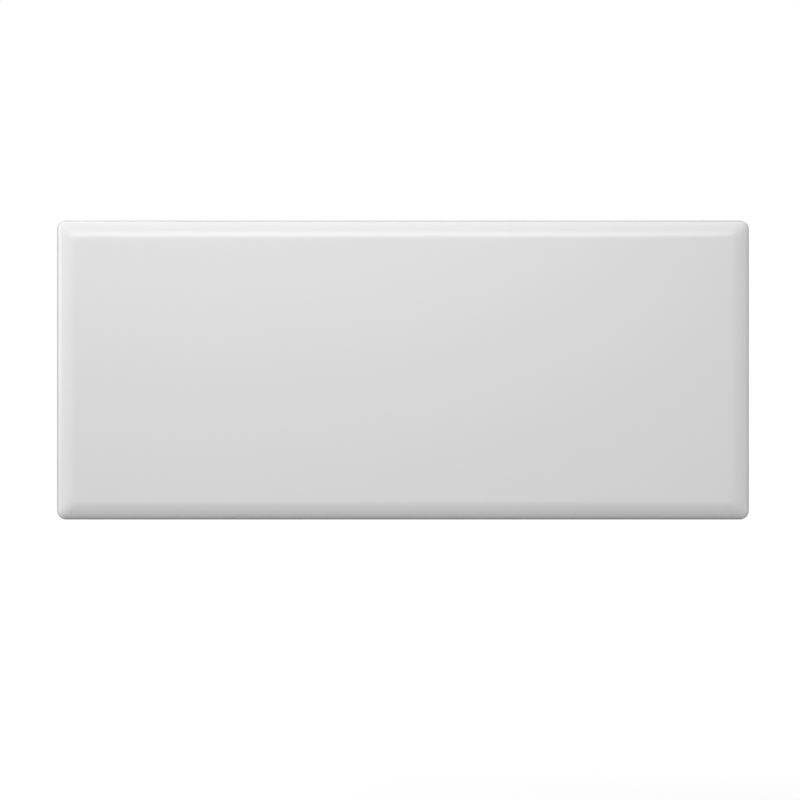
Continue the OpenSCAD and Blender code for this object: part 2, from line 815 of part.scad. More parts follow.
// Potentiometer that the dial's shaft turns
module dial_potentiometer() {
    color([0.3, 0.42, 0.6]) translate([dial_x, top_mid_y, board_z + board_t]) difference() {
        union() {
            cylinder(d = 15, h = pot_h);
            cylinder(d = dial_shaft_d + 3, h = pot_h + pot_bush_h);
        }
        translate([0, 0, 2]) cylinder(d = dial_shaft_d + 2 * slip, h = 20);
    }
}

// Relay that switches the element
module power_relay() {
    color([0.12, 0.14, 0.2]) translate([board_left_x + 12, top_mid_y, board_z - 8])
        cube([18, 12, 16], center = true);
}

// Small push switch under the mode button
module mode_switch() {
    top = button_low_z - button_travel - skin;
    color([0.1, 0.1, 0.1]) translate([button_x, top_mid_y, board_z + board_t]) {
        translate([-3, -3, 0]) cube([6, 6, 3.5]);
        cylinder(d = 3.4, h = top - board_z - board_t);
    }
}

// Domed lens over the indicator lamp, with its light guide
module indicator_lens() {
    color([0.95, 0.55, 0.2]) translate([lens_x, top_mid_y, 0]) {
        translate([0, 0, board_z + board_t])
            cylinder(d = lens_d - 1, h = control_floor_z - board_z - board_t);
        translate([0, 0, control_floor_z - control_wall - 1]) cylinder(d = lens_d + 1.5, h = 1);
        translate([0, 0, control_floor_z - control_wall]) cylinder(d = lens_d, h = control_wall);
        translate([0, 0, control_floor_z]) intersection() {
            translate([0, 0, -lens_d * 0.3]) sphere(d = lens_d * 1.17);
            translate([0, 0, 2.5]) cube([lens_d + 1, lens_d + 1, 5], center = true);
        }
    }
}

// Snap-in body of the power switch, with its round well and two blade terminals
module rocker_housing() {
    low_z = board_z;
    color([0.1, 0.1, 0.11]) difference() {
        union() {
            translate([rocker_x, top_mid_y, low_z]) linear_extrude(control_floor_z - low_z)
                square([rocker_body_l, rocker_body_w], center = true);
            translate([rocker_x, top_mid_y, control_floor_z]) linear_extrude(rocker_bezel_t)
                round_rect(rocker_body_l + 2.6, rocker_body_w + 2.2, 1.5);
            for (side = [-1, 1]) translate([rocker_x + side * 4 - 0.4, top_mid_y - 2.4, low_z - 8])
                cube([0.8, 4.8, 8.5]);
        }
        translate([rocker_x, top_mid_y, rocker_pivot_z]) rotate([90, 0, 0]) {
            cylinder(r = rocker_r + skin, h = rocker_w + 2 * skin, center = true);
            cylinder(d = rocker_pin_d + 2 * slip, h = rocker_w + 2, center = true);
        }
    }
}

// Rocker with a hollowed top, held at one end of its travel
module rocker_paddle() {
    dish = 2.4;
    end_z = dish + 1.2;
    low_z = -4;
    color([0.16, 0.16, 0.17]) translate([rocker_x, top_mid_y, rocker_pivot_z]) rotate([0, -rocker_lean, 0])
        rotate([90, 0, 0]) {
            linear_extrude(rocker_w, center = true) intersection() {
                circle(r = rocker_r);
                polygon([
                    [-rocker_r, end_z], [0, dish], [rocker_r, end_z], [rocker_r, low_z], [-rocker_r, low_z]
                ]);
            }
            cylinder(d = rocker_pin_d, h = rocker_w + 1.8, center = true);
        }
}

// Fluted dial on its shaft, with a pointer groove in its top that starts at the first mark
module thermostat_dial() {
    color([0.9, 0.9, 0.9]) translate([dial_x, top_mid_y, dial_low_z]) difference() {
        union() {
            cylinder(d = dial_d, h = dial_h - 1);
            translate([0, 0, dial_h - 1]) cylinder(d1 = dial_d, d2 = dial_d - 2, h = 1);
            translate([0, 0, board_z + board_t + 3 - dial_low_z])
                cylinder(d = dial_shaft_d, h = dial_low_z - board_z - board_t - 2);
        }
        rotate([0, 0, dial_rest]) {
            for (i = [0 : dial_notches - 1]) rotate([0, 0, (i + 0.5) * 360 / dial_notches])
                translate([0, dial_d / 2 + 0.35, -1]) cylinder(d = 1.6, h = dial_h + 2);
            translate([-0.6, dial_d / 2 - 6, dial_h - 0.8]) cube([1.2, 7, 2]);
        }
    }
}

// Round push button with a retaining collar under the panel
module mode_button() {
    color([0.9, 0.9, 0.9]) translate([button_x, top_mid_y, button_low_z]) {
        cylinder(d = button_d, h = button_h - 0.6);
        translate([0, 0, button_h - 0.6]) cylinder(d1 = button_d, d2 = button_d - 1.2, h = 0.6);
        translate([0, 0, 6 - control_wall - 1 - skin]) cylinder(d = button_d + 2, h = 1);
    }
}

// Three-pole block with cross bores for the wires and screw wells in its face
module terminal_block() {
    color([0.86, 0.85, 0.8]) translate([block_x, inner_y, block_z]) difference() {
        translate([0, -block_d / 2, 0]) cube([3 * block_pitch, block_d, block_h], center = true);
        for (pole = block_poles) translate([pole * block_pitch, -block_d / 2 - block_bore_y, 0]) {
            cylinder(r = wire_r + 0.4, h = block_h + 2, center = true);
            for (side = [-1, 1]) translate([0, 0, side * clamp_rise]) rotate([90, 0, 0])
                cylinder(d = clamp_well_d, h = block_d);
        }
    }
}

// Clamp screws of the terminal block
module terminal_screws() {
    color([0.8, 0.68, 0.35]) for (pole = block_poles, side = [-1, 1])
        translate([block_x + pole * block_pitch, block_wire_y - wire_r, block_z + side * clamp_rise])
            rotate([90, 0, 0]) difference() {
                cylinder(d = clamp_well_d - 2 * slip, h = 4);
                translate([-2.5, -0.4, 3]) cube([5, 0.8, 2]);
            }
}

// Earth stud with its nut on the casing's back
module earth_stud() {
    color([0.8, 0.68, 0.35]) translate([stud_x, inner_y, stud_z]) rotate([90, 0, 0]) {
        cylinder(d = 4, h = 12);
        cylinder(d = 10, h = 1);
        translate([0, 0, 1]) cylinder(d = 8, h = 3.2, $fn = 6);
    }
}

// Compression gland through the casing's back
module cable_gland() {
    color([0.15, 0.15, 0.16]) translate([gland_x, back_y, gland_z]) rotate([-90, 0, 0]) difference() {
        union() {
            translate([0, 0, -gland_in]) cylinder(d = gland_thread_d, h = gland_in + 1);
            cylinder(d = gland_thread_d + 6, h = 4, $fn = 6);
            translate([0, 0, 4]) cylinder(d = gland_thread_d + 3, h = gland_out - 7);
            translate([0, 0, gland_out - 3])
                cylinder(d1 = gland_thread_d + 3, d2 = gland_thread_d - 3, h = 3);
        }
        cylinder(d = inlet_bore_d, h = 60, center = true);
    }
}

// Nut of the gland, inside the casing
module gland_locknut() {
    color([0.2, 0.2, 0.21]) translate([gland_x, inner_y, gland_z]) rotate([90, 0, 0]) difference() {
        cylinder(d = gland_thread_d + 7, h = 4, $fn = 6);
        cylinder(d = gland_thread_d + 2 * slip, h = 20, center = true);
    }
}

// Room temperature sensor in a clip above the compartment's air slot
module room_sensor() {
    color([0.2, 0.2, 0.22]) translate([sensor_x, top_mid_y, 0]) {
        translate([0, 0, sensor_z - 4]) cylinder(d = 4.6, h = sensor_up + 4);
        translate([-3.5, 0, sensor_z - 3]) cube([7, inner_y - top_mid_y, 4]);
        translate([0, 0, sensor_z - 3]) cylinder(d = 7, h = 4);
    }
}

// One square bend of a wire: u is the way in and v the way out
module wire_bend_piece(corner, u, v, r, bend) {
    w = cross(u, v);
    c = corner - u * bend + v * bend;
    multmatrix([
        [-v[0], u[0], w[0], c[0]],
        [-v[1], u[1], w[1], c[1]],
        [-v[2], u[2], w[2], c[2]],
        [0, 0, 0, 1]
    ]) rotate_extrude(angle = 90) translate([bend, 0]) circle(r = r, $fn = 24);
}

// One straight stretch of a wire between two points on a line along an axis
module wire_straight(a, b, r) {
    d = b - a;
    way = d / norm(d);
    turn = abs(way[2]) > 0.5 ? [way[2] > 0 ? 0 : 180, 0, 0] : [0, 90, atan2(way[1], way[0])];
    translate(a) rotate(turn) cylinder(r = r, h = norm(d), $fn = 24);
}

// A wire that turns squarely at each inner point of its route
module wire_run(points, r, bend) {
    last = len(points) - 1;
    ways = [for (i = [0 : last - 1]) (points[i + 1] - points[i]) / norm(points[i + 1] - points[i])];
    for (i = [0 : last - 1]) {
        start = points[i] + (i > 0 ? bend : 0) * ways[i];
        end = points[i + 1] - (i < last - 1 ? bend : 0) * ways[i];
        wire_straight(start, end, r);
    }
    for (i = [1 : last - 1]) wire_bend_piece(points[i], ways[i - 1], ways[i], r, bend);
}

// Live wires: block to controls, controls to cutout, cutout to the far end of the element
module wiring_live() {
    color([0.45, 0.25, 0.12]) {
        wire_run([
            [live_in_x, block_wire_y, block_top_z],
            [live_in_x, block_wire_y, housing_turn_z],
            [live_in_x, top_mid_y, housing_turn_z],
            [live_in_x, top_mid_y, housing_wire_z]
        ], wire_r, wire_bend);
        wire_run([
            [live_out_x, top_mid_y, housing_wire_z],
            [live_out_x, top_mid_y, grommet_z],
            [cutout_x + blade_x, top_mid_y, grommet_z],
            [cutout_x + blade_x, top_mid_y, blade_top_z]
        ], wire_r, wire_bend);
        wire_run([
            [cutout_x - blade_x, top_mid_y, blade_top_z],
            [cutout_x - blade_x, top_mid_y, duct_wire_z],
            [element_mid_x - pin_x, top_mid_y, duct_wire_z],
            [element_mid_x - pin_x, element_y, duct_wire_z],
            [element_mid_x - pin_x, element_y, element_z + pin_r]
        ], wire_r, wire_bend);
    }
}

// Neutral wires: block to controls, and block to the near end of the element
module wiring_neutral() {
    color([0.15, 0.3, 0.7]) {
        wire_run([
            [neutral_in_x, block_wire_y, block_top_z],
            [neutral_in_x, block_wire_y, housing_turn_z],
            [neutral_in_x, top_mid_y, housing_turn_z],
            [neutral_in_x, top_mid_y, housing_wire_z]
        ], wire_r, wire_bend);
        wire_run([
            [neutral_in_x, block_wire_y, block_low_z],
            [neutral_in_x, block_wire_y, low_wire_z],
            [element_mid_x + pin_x, block_wire_y, low_wire_z],
            [element_mid_x + pin_x, element_y, low_wire_z],
            [element_mid_x + pin_x, element_y, element_z - pin_r]
        ], wire_r, wire_bend);
    }
}

// Earth wire from the block to the stud
module wiring_earth() {
    color([0.35, 0.6, 0.2]) wire_run([
        [block_x + block_pitch, block_wire_y, block_top_z],
        [block_x + block_pitch, block_wire_y, stud_z],
        [stud_x - 2, block_wire_y, stud_z]
    ], wire_r, wire_bend);
}

// Lead from the control housing to the room sensor
module sensor_lead() {
    color([0.9, 0.9, 0.88]) translate([sensor_x, top_mid_y, sensor_z + sensor_up])
        cylinder(r = lead_r, h = housing_wire_z - sensor_z - sensor_up, $fn = 24);
}

// Ears on the heater's back that carry the pivot rods
module pivot_brackets() {
    color(steel) difference() {
        for (side = [-1, 1], hand = [0, 1]) translate([side * upright_x, 0, 0]) mirror([hand, 0, 0]) {
            translate([ear_x + ear_t / 2, 0, 0]) along_x(ear_t) {
                translate([pivot_y, pivot_z]) circle(d = ear_h);
                translate([back_y, pivot_z - ear_h / 2]) square([pivot_back, ear_h]);
            }
            translate([ear_x, back_y, pivot_z - foot_h / 2]) cube([foot_w, ear_t, foot_h]);
        }
        for (side = [-1, 1]) translate([side * upright_x, pivot_y, pivot_z]) rotate([0, 90, 0])
            cylinder(d = pivot_d + 2 * slip, h = 2 * (ear_x + foot_w), center = true);
        translate([0, back_y - 1, 0]) along_y(ear_t + 2) hole_set(ear_rivets, rivet_d + 2 * slip);
    }
}

// Headed rods that the heater stands and tilts on
module pivot_rods() {
    reach = ear_x + ear_t + slip;
    color([0.55, 0.56, 0.58]) for (side = [-1, 1])
        translate([side * upright_x, pivot_y, pivot_z]) rotate([0, 90, 0]) {
            cylinder(d = pivot_d, h = 2 * reach, center = true);
            for (end = [0, 1]) mirror([0, 0, end]) translate([0, 0, reach]) cylinder(d = pivot_d + 4, h = 2);
        }
}

// Side view of an upright's flange: full depth above, a round hook with its entry slot below
module upright_flange() {
    entry_z = pivot_z + pivot_d / 2 + 4;
    step_z = upright_top_z - flange_top_h;
    way_d = pivot_d + 2 * slip;
    difference() {
        union() {
            translate([flange_y, entry_z - 4]) square([-flange_y, step_z - entry_z + 4]);
            translate([-flange_top_d, step_z]) square([flange_top_d, flange_top_h]);
            translate([pivot_y, pivot_z]) circle(r = hook_r);
            translate([pivot_y, flange_low_z]) square([-pivot_y, 2 * hook_r]);
        }
        translate([pivot_y, pivot_z]) circle(d = way_d);
        translate([pivot_y - way_d / 2, pivot_z]) square([way_d, entry_z - pivot_z + pivot_d / 2]);
        translate([pivot_y - 40, entry_z - 0.5]) square([40, pivot_d + 1]);
        translate([pivot_y, entry_z + pivot_d / 2]) circle(d = way_d);
    }
}

// Channel-shaped upright with two wall holes and a hook in each flange
module bracket_upright(side) {
    color(steel) difference() {
        union() {
            translate([side * upright_x, 0, 0]) {
                translate([-upright_w / 2, -bracket_sheet, flange_low_z])
                    cube([upright_w, bracket_sheet, upright_top_z - flange_low_z]);
                for (hand = [-1, 1]) translate([hand * (upright_w - bracket_sheet) / 2, 0, 0])
                    along_x(bracket_sheet) upright_flange();
            }
        }
        for (end = [-1, 1]) translate([side * upright_x, 0, end * screw_span_z / 2]) rotate([90, 0, 0])
            cylinder(d = screw_hole_d, h = 10, center = true);
    }
}

module bracket_upright_left() bracket_upright(-1);
module bracket_upright_right() bracket_upright(1);

// Channel-shaped rail between the uprights
module bracket_rail(z) {
    l = 2 * upright_x - upright_w;
    color(steel) difference() {
        translate([0, 0, z]) along_x(l) channel_section(rail_h, -rail_d, bracket_sheet);
        for (side = [-1, 0, 1]) translate([side * l / 3, -8, z]) along_y(10) stadium(40, 7);
    }
}

module bracket_rail_upper() bracket_rail(rail_z);
module bracket_rail_lower() bracket_rail(-rail_z);

// Straps and ledges across the uprights that guide the catches and carry their springs
module catch_guides() {
    color(steel) for (side = [-1, 1]) translate([side * upright_x, 0, 0]) {
        translate([-channel_w / 2, catch_front_y - skin - 1.5, catch_low_z + 2]) cube([channel_w, 1.5, 8]);
        translate([-channel_w / 2, catch_front_y, catch_low_z - spring_h - skin - 2])
            cube([channel_w, -bracket_sheet - catch_front_y, 2]);
    }
}

// Sprung catch: a plate in the upright, a nose through the casing's back and a thumb pad on top
module catch_piece(side) {
    nose_tip_y = back_y - 9;
    arm_t = 6;
    plate_w = channel_w - 2 * skin;
    arm_z = nose_z - 12;
    color([0.2, 0.2, 0.22]) translate([side * upright_x, 0, 0]) {
        translate([-plate_w / 2, catch_front_y, catch_low_z])
            cube([plate_w, catch_plate_t, upright_top_z + 4 - catch_low_z]);
        along_x(nose_w) {
            translate([nose_tip_y, arm_z]) square([catch_front_y - nose_tip_y + 1, arm_t]);
            polygon([
                [nose_tip_y, arm_z + 2],
                [nose_tip_y, nose_z - 3],
                [nose_tip_y + 2, nose_z],
                [back_y - 3, nose_z],
                [back_y - 3, arm_z + 2]
            ]);
        }
        translate([-plate_w / 2, catch_front_y - 10, upright_top_z + 2])
            cube([plate_w, 10 + catch_plate_t, 2]);
    }
}

module catch_left() catch_piece(-1);
module catch_right() catch_piece(1);

// Folded leaf spring in even bends between its ledge and the catch
module catch_spring(side) {
    leaf_t = 0.6;
    bend_r = spring_h * 0.97 / 8;
    run = 8;
    z0 = catch_low_z - spring_h - skin + 0.1;
    color([0.6, 0.6, 0.62]) translate([side * upright_x, catch_front_y + 1, z0]) along_y(4) {
        translate([-run / 2, 0]) square([run, leaf_t]);
        for (i = [0 : 3]) translate([(i % 2 == 0 ? 1 : -1) * run / 2, leaf_t / 2 + (2 * i + 1) * bend_r])
            intersection() {
                difference() {
                    circle(r = bend_r + leaf_t / 2);
                    circle(r = bend_r - leaf_t / 2);
                }
                translate([i % 2 == 0 ? 0 : -10, -10]) square([10, 20]);
            }
        for (i = [1 : 4]) translate([-run / 2, 2 * i * bend_r]) square([run, leaf_t]);
    }
}

module catch_spring_left() catch_spring(-1);
module catch_spring_right() catch_spring(1);

// Rivet with its head above z = 0 and its shank down through the sheets that it holds
module rivet(grip) {
    cylinder(d1 = rivet_head_d, d2 = rivet_head_d - 2.4, h = rivet_head_h, $fn = 32);
    translate([0, 0, -grip]) cylinder(d = rivet_d, h = grip + rivet_head_h / 2, $fn = 32);
}

// Rivets of the pivot's ears and the element's seat, with heads outside, and those of the cutout
module rivets() {
    color(steel) {
        for (place = ear_rivets) translate([place[0], back_y + ear_t, place[1]])
            rotate([-90, 0, 0]) rivet(ear_t + casing_sheet);
        for (place = seat_rivets) translate([place[0], back_y, place[1]])
            rotate([-90, 0, 0]) rivet(casing_sheet + inner_sheet);
        for (place = cutout_rivets) translate([place[0], cutout_y - cutout_flange_t, place[1]])
            rotate([90, 0, 0]) rivet(cutout_flange_t + shield_t);
    }
}

front_panel();
panel_brackets();
rear_casing();
outlet_grille();
casing_screws();
partition_plate();
partition_grommet();
element_bracket();
heating_element();
element_rod();
element_insulators();
rear_heat_shield();
front_heat_shield();
overheat_cutout();
control_panel();
thermostat_housing();
control_board();
dial_potentiometer();
power_relay();
mode_switch();
indicator_lens();
rocker_housing();
thermostat_dial();
mode_button();
rocker_paddle();
terminal_block();
terminal_screws();
earth_stud();
cable_gland();
gland_locknut();
room_sensor();
sensor_lead();
wiring_live();
wiring_neutral();
wiring_earth();
pivot_brackets();
pivot_rods();
bracket_upright_left();
bracket_upright_right();
bracket_rail_upper();
bracket_rail_lower();
catch_guides();
catch_left();
catch_right();
catch_spring_left();
catch_spring_right();
rivets();
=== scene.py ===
import math

import bmesh
import bpy
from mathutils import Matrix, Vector


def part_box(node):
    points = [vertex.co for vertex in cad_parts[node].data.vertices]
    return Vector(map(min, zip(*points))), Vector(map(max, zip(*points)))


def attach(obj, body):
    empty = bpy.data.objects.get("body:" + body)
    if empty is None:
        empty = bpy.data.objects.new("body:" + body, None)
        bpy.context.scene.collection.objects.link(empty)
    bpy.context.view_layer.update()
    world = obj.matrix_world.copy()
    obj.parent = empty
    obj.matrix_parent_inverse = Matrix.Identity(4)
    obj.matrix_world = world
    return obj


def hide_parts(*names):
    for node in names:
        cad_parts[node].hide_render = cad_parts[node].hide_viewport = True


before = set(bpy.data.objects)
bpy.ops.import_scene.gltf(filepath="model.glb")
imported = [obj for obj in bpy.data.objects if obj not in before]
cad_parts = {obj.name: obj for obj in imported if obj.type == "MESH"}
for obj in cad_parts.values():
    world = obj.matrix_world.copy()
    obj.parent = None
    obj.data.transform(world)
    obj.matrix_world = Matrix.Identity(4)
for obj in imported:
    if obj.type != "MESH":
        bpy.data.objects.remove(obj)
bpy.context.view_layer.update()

# Camera: a long lens straight in front of the heater, a little below its middle
SENSOR_W = 0.036
HEM_Y = -0.071
VIEW_W = 1.0696
CAMERA_BACK = 6.0
CAMERA_X = -0.0039
CAMERA_Z = -0.0402
FAR_CLIP = 100

camera_data = bpy.data.cameras.new("photo_camera")
camera_data.sensor_width = SENSOR_W * 1000
camera_data.lens = SENSOR_W * 1000 * CAMERA_BACK / VIEW_W
camera_data.clip_end = FAR_CLIP
camera = bpy.data.objects.new("photo_camera", camera_data)
camera.location = (CAMERA_X, HEM_Y - CAMERA_BACK, CAMERA_Z)
camera.rotation_euler = (math.radians(90), 0, 0)
bpy.context.scene.collection.objects.link(camera)
bpy.context.scene.camera = camera


# Shader helpers

def put(tree, kind, sockets=None, **settings):
    """Adds a shader node. A socket, by name or number, takes a value or another node's output."""
    made = tree.nodes.new("ShaderNode" + kind)
    for setting, value in settings.items():
        setattr(made, setting, value)
    for socket, value in (sockets or {}).items():
        if isinstance(value, bpy.types.NodeSocket):
            tree.links.new(value, made.inputs[socket])
        else:
            made.inputs[socket].default_value = value
    return made


def combine(tree, operation, a, b):
    """One arithmetic step on two values."""
    return put(tree, "Math", {0: a, 1: b}, operation=operation).outputs[0]


def span(tree, value, low, high, to_low, to_high):
    """Stretches low..high of a value to another range, and holds it there."""
    return put(tree, "MapRange", {0: value, 1: low, 2: high, 3: to_low, 4: to_high}).outputs[0]


def blend_colours(tree, share, first, second):
    """Second over first by share."""
    return put(tree, "Mix", {0: share, 6: first, 7: second}, data_type="RGBA").outputs[2]


def speckle(tree, where, scale, detail=2.0, rough=0.5):
    """Noise as one value."""
    sockets = {"Vector": where, "Scale": scale, "Detail": detail, "Roughness": rough}
    return put(tree, "TexNoise", sockets).outputs[0]


def effect(name, takes, gives):
    """A node group whose inputs are numbers and whose outputs are values that change over the surface."""
    tree = bpy.data.node_groups.new(name, "ShaderNodeTree")
    for label, start in takes:
        tree.interface.new_socket(label, in_out="INPUT", socket_type="NodeSocketFloat").default_value = start
    for label in gives:
        tree.interface.new_socket(label, in_out="OUTPUT", socket_type="NodeSocketFloat")
    return tree, tree.nodes.new("NodeGroupInput").outputs, tree.nodes.new("NodeGroupOutput").inputs


def place(tree, group, **values):
    """Puts an effect into a material with its own numbers."""
    made = tree.nodes.new("ShaderNodeGroup")
    made.node_tree = group
    for label, value in values.items():
        made.inputs[label.replace("_", " ")].default_value = value
    return made.outputs


# Effects that several finishes share

def make_coat_grain():
    """Orange peel with finer grit in it, and the slow changes of a sprayed coat's tone and sheen."""
    tree, given, out = effect("coat_grain", [("Peel", 260.0), ("Grit", 2100.0)], ["Height", "Tone", "Sheen"])
    here = put(tree, "TexCoord").outputs["Object"]
    peel = speckle(tree, here, given["Peel"], 2)
    grit = speckle(tree, here, given["Grit"], 1)
    peel_share = combine(tree, "MULTIPLY", peel, 0.75)
    grit_share = combine(tree, "MULTIPLY", grit, 0.25)
    tree.links.new(combine(tree, "ADD", peel_share, grit_share), out["Height"])
    tree.links.new(speckle(tree, here, 4.0, 4), out["Tone"])
    tree.links.new(speckle(tree, here, 22.0, 5, 0.6), out["Sheen"])
    return tree


def make_edge_wear():
    """Edges that handling has rubbed, in patches."""
    tree, given, out = effect("edge_wear", [("Reach", 0.0008), ("Patches", 90.0)], ["Mask"])
    here = put(tree, "TexCoord").outputs["Object"]
    rounded = put(tree, "Bevel", {"Radius": given["Reach"]}, samples=6).outputs[0]
    flat = put(tree, "NewGeometry").outputs["Normal"]
    facing = put(tree, "VectorMath", {0: rounded, 1: flat}, operation="DOT_PRODUCT").outputs["Value"]
    bend = span(tree, facing, 0.985, 0.86, 0.0, 1.0)
    patches = span(tree, speckle(tree, here, given["Patches"], 4, 0.65), 0.38, 0.62, 0.15, 1.0)
    tree.links.new(combine(tree, "MULTIPLY", bend, patches), out["Mask"])
    return tree


def make_painted_joint_shade():
    """Painted shade where two surfaces meet closely, a little weaker in patches."""
    tree, given, out = effect("painted_joint_shade", [("Reach", 0.003), ("Patches", 40.0)], ["Mask"])
    here = put(tree, "TexCoord").outputs["Object"]
    # Painted shade: the mask rises where ambient occlusion finds another surface within reach
    open_share = put(tree, "AmbientOcclusion", {"Distance": given["Reach"]}, samples=8).outputs["AO"]
    closed = span(tree, open_share, 0.35, 0.95, 1.0, 0.0)
    patches = span(tree, speckle(tree, here, given["Patches"], 4, 0.6), 0.3, 0.7, 0.8, 1.0)
    tree.links.new(combine(tree, "MULTIPLY", closed, patches), out["Mask"])
    return tree


def make_settled_dust():
    """Dust in clumps on what faces up."""
    tree, given, out = effect("settled_dust", [("Amount", 0.2), ("Clumps", 60.0)], ["Mask"])
    coords = put(tree, "TexCoord")
    up = put(tree, "SeparateXYZ", {0: coords.outputs["Normal"]}).outputs["Z"]
    lying = span(tree, up, 0.35, 0.95, 0.0, 1.0)
    grains = speckle(tree, coords.outputs["Object"], given["Clumps"], 6, 0.7)
    clumps = span(tree, grains, 0.35, 0.7, 0.25, 1.0)
    settled = combine(tree, "MULTIPLY", lying, clumps)
    tree.links.new(combine(tree, "MULTIPLY", settled, given["Amount"]), out["Mask"])
    return tree


def make_zinc_flowers():
    """Crystal patches with bent borders, and fine streaks over them."""
    takes = [("Flower", 110.0), ("Streak", 700.0)]
    tree, given, out = effect("zinc_flowers", takes, ["Tone", "Sheen", "Height"])
    here = put(tree, "TexCoord").outputs["Object"]
    beside = put(tree, "VectorMath", {0: here, 1: (0.006, 0.006, 0.006)}, operation="ADD").outputs[0]
    wander = put(tree, "TexNoise", {"Vector": beside, "Scale": 60.0, "Detail": 3.0}).outputs[1]
    shift = put(tree, "VectorMath", {0: wander, "Scale": 0.006}, operation="SCALE").outputs[0]
    moved = put(tree, "VectorMath", {0: here, 1: shift}, operation="ADD").outputs[0]
    flowers = put(tree, "TexVoronoi", {"Vector": moved, "Scale": given["Flower"]})
    shade = put(tree, "SeparateColor", {0: flowers.outputs["Color"]}).outputs[0]
    streak = speckle(tree, here, given["Streak"], 2)
    shade_share = combine(tree, "MULTIPLY", shade, 0.7)
    streak_share = combine(tree, "MULTIPLY", streak, 0.3)
    tree.links.new(combine(tree, "ADD", shade_share, streak_share), out["Tone"])
    tree.links.new(shade, out["Sheen"])
    tree.links.new(streak, out["Height"])
    return tree


def make_drawn_lines():
    """Fine lines along X, with broader bands between them."""
    tree, given, out = effect("drawn_lines", [("Along", 6.0), ("Across", 1400.0)], ["Height", "Tone"])
    here = put(tree, "TexCoord").outputs["Object"]
    pull = put(tree, "CombineXYZ", {0: given["Along"], 1: given["Across"], 2: given["Across"]}).outputs[0]
    drawn = put(tree, "VectorMath", {0: here, 1: pull}, operation="MULTIPLY").outputs[0]
    tree.links.new(speckle(tree, drawn, 1.0, 3, 0.6), out["Height"])
    tree.links.new(speckle(tree, drawn, 0.21, 3, 0.6), out["Tone"])
    return tree


def make_mould_skin():
    """The mould's eroded grain, with the flow of the melt in its tone."""
    tree, given, out = effect("mould_skin", [("Grain", 2600.0), ("Flow", 45.0)], ["Height", "Tone", "Sheen"])
    here = put(tree, "TexCoord").outputs["Object"]
    pits = put(tree, "TexVoronoi", {"Vector": here, "Scale": given["Grain"]}, feature="SMOOTH_F1").outputs[0]
    melt = {"Vector": here, "Scale": given["Flow"], "Detail": 4.0, "Distortion": 1.2}
    flow = put(tree, "TexNoise", melt).outputs[0]
    tree.links.new(pits, out["Height"])
    tree.links.new(flow, out["Tone"])
    tree.links.new(speckle(tree, here, 180.0, 4, 0.6), out["Sheen"])
    return tree


COAT_GRAIN = make_coat_grain()
EDGE_WEAR = make_edge_wear()
PAINTED_JOINT_SHADE = make_painted_joint_shade()
SETTLED_DUST = make_settled_dust()
ZINC_FLOWERS = make_zinc_flowers()
DRAWN_LINES = make_drawn_lines()
MOULD_SKIN = make_mould_skin()


# Finishes

PAINT = (0.842, 0.844, 0.842)
CASING_PAINT = (0.715, 0.718, 0.718)
HEAT_STAIN = (0.30, 0.19, 0.12, 1)
TINNED_LAND = (0.62, 0.62, 0.6, 1)
DUST_COLOUR = (0.52, 0.50, 0.46, 1)


def start_finish(name, **sockets):
    """A material with its Principled shader, and the tree to build in."""
    made = bpy.data.materials.new(name)
    made.use_nodes = True
    shader = made.node_tree.nodes["Principled BSDF"]
    for label, value in sockets.items():
        shader.inputs[label.replace("_", " ")].default_value = value
    return made, made.node_tree, shader


def lit(colour, level):
    """A colour made lighter or darker, as a socket takes it."""
    return tuple(min(1.0, part * level) for part in colour[:3]) + (1,)


def dust_over(tree, body, amount):
    """A colour with settled dust on it."""
    return blend_colours(tree, place(tree, SETTLED_DUST, Amount=amount)["Mask"], body, DUST_COLOUR)


def finish_surface(tree, shader, colour, roughness, height, bump_depth):
    """Joins the colour, roughness and height to the shader."""
    tree.links.new(colour, shader.inputs["Base Color"])
    tree.links.new(roughness, shader.inputs["Roughness"])
    bump = put(tree, "Bump", {"Height": height, "Strength": 1.0, "Distance": bump_depth})
    tree.links.new(bump.outputs[0], shader.inputs["Normal"])


def powder_coat(name, colour, roughness, peel=260.0, dust=0.12, wear=0.25, joint_shade=0.5, vary=1.0):
    """Oven-baked paint with a fine orange-peel skin, dust on top, rubbed edges and painted shade in its
    joints.
    """
    made, tree, shader = start_finish(name, Specular_IOR_Level=0.5)
    coat = place(tree, COAT_GRAIN, Peel=peel)
    body = blend_colours(tree, coat["Tone"], lit(colour, 1 - 0.018 * vary), lit(colour, 1 + 0.012 * vary))
    rubbed = combine(tree, "MULTIPLY", place(tree, EDGE_WEAR, Reach=0.0006)["Mask"], wear)
    body = blend_colours(tree, rubbed, body, lit(colour, 0.86))
    # Painted shade: the coat's colour darkens where it meets another surface closely
    joint_shaded = combine(tree, "MULTIPLY", place(tree, PAINTED_JOINT_SHADE)["Mask"], joint_shade)
    body = blend_colours(tree, joint_shaded, body, lit(colour, 0.45))
    body = dust_over(tree, body, dust)
    shine = span(tree, coat["Sheen"], 0.3, 0.7, roughness - 0.035 * vary, roughness + 0.045 * vary)
    finish_surface(tree, shader, body, shine, coat["Height"], bump_depth=0.000012)
    return made


def zinc(name, colour, roughness, flower=110.0):
    """Zinc on steel: crystal patches, dull handling marks and bright rubbed edges."""
    made, tree, shader = start_finish(name, Metallic=1.0)
    skin = place(tree, ZINC_FLOWERS, Flower=flower)
    body = blend_colours(tree, skin["Tone"], lit(colour, 0.91), lit(colour, 1.09))
    rubbed = place(tree, EDGE_WEAR, Reach=0.0007)["Mask"]
    body = blend_colours(tree, rubbed, body, lit(colour, 1.35))
    body = dust_over(tree, body, 0.15)
    shine = span(tree, skin["Sheen"], 0.0, 1.0, roughness - 0.09, roughness + 0.1)
    finish_surface(tree, shader, body, shine, skin["Height"], bump_depth=0.000006)
    return made


